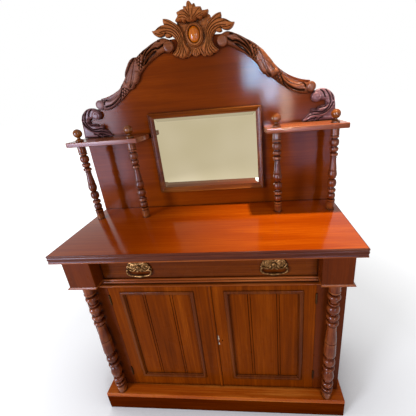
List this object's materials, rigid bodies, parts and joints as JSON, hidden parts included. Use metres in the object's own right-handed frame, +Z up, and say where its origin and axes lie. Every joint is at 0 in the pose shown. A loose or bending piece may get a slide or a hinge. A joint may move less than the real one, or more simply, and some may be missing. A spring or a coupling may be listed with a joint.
{
  "type": "mirror back chiffonier",
  "caption": "Victorian mahogany chiffonier: cupboard with doors, frieze drawer, turned columns, and a carved mirror back with side shelves on spindles.",
  "frame": {"origin": "centre of the footprint's bounding box, on the floor", "axes": "+Z up, the front faces -Y, +X to the viewer's right"},
  "size_m": [1.234, 0.501, 1.864],
  "materials": {
    "mahogany": "french polished",
    "top_mahogany": "french polished",
    "door_mahogany": "french polished",
    "carved_mahogany": "waxed, worn on the high points",
    "amber_mahogany": "polished",
    "pine": "planed, unpolished",
    "mirror": "silvered, bevelled",
    "brass": "drawn, dull",
    "steel": "worn",
    "antique_brass": "cast, patinated"
  },
  "bodies": {
    "cabinet": {"plinth_frame": "mahogany", "plinth_blocks": "pine", "base_board": "top_mahogany", "side_left": "mahogany", "side_right": "mahogany", "post_left": "mahogany", "post_right": "mahogany", "drawer_rail": "mahogany", "rail_bead": "mahogany", "rail_fillet": "mahogany", "frieze_block_left": "mahogany", "frieze_block_right": "mahogany", "block_mouldings": "mahogany", "columns": "mahogany", "top_board": "top_mahogany", "dust_board": "pine", "drawer_runners": "pine", "cupboard_shelf": "pine", "shelf_battens": "pine", "back_boards": "pine", "back_panel": "mahogany", "rear_uprights": "pine", "mirror_frame": "mahogany", "mirror_glass": "mirror", "mirror_backing": "pine", "crest_cartouche": "carved_mahogany", "crest_leaf": "carved_mahogany", "cabochon": "amber_mahogany", "scroll_left": "carved_mahogany", "scroll_right": "carved_mahogany", "corner_scroll_left": "carved_mahogany", "corner_scroll_right": "carved_mahogany", "side_shelf_left": "mahogany", "side_shelf_right": "mahogany", "spindles": "mahogany", "finials": "mahogany", "hinge_plates": "brass"},
    "left_door": {"left_door_frame": "door_mahogany", "left_door_panel": "door_mahogany", "left_door_moulding": "door_mahogany", "astragal": "door_mahogany", "left_door_hinges": "brass"},
    "right_door": {"right_door_frame": "door_mahogany", "right_door_panel": "door_mahogany", "right_door_moulding": "door_mahogany", "right_door_hinges": "brass", "door_lock": "brass"},
    "lock_bolt": {"lock_bolt": "steel"},
    "drawer": {"drawer_front": "mahogany", "drawer_sides": "pine", "drawer_back": "pine", "drawer_bottom": "pine", "handle_plates": "antique_brass"},
    "left_bail": {"bail_left": "antique_brass"},
    "right_bail": {"bail_right": "antique_brass"}
  },
  "joints": [
    {"name": "left_door_hinge", "type": "hinge", "parent": "cabinet", "child": "left_door", "pos_m": [-0.4575, -0.17, 0.44], "axis": [0, 0, -1], "range_deg": [0, 110]},
    {"name": "right_door_hinge", "type": "hinge", "parent": "cabinet", "child": "right_door", "pos_m": [0.4575, -0.17, 0.44], "axis": [0, 0, 1], "range_deg": [0, 110]},
    {"name": "drawer_slide", "type": "slide", "parent": "cabinet", "child": "drawer", "axis": [0, -1, 0], "range_m": [0, 0.3]},
    {"name": "lock_bolt_slide", "type": "slide", "parent": "right_door", "child": "lock_bolt", "axis": [-1, 0, 0], "range_m": [0, 0.008]},
    {"name": "left_bail_swing", "type": "hinge", "parent": "drawer", "child": "left_bail", "pos_m": [-0.285, -0.1765, 0.847], "axis": [-1, 0, 0], "range_deg": [0, 90]},
    {"name": "right_bail_swing", "type": "hinge", "parent": "drawer", "child": "right_bail", "pos_m": [0.285, -0.1765, 0.847], "axis": [-1, 0, 0], "range_deg": [0, 90]}
  ]
}
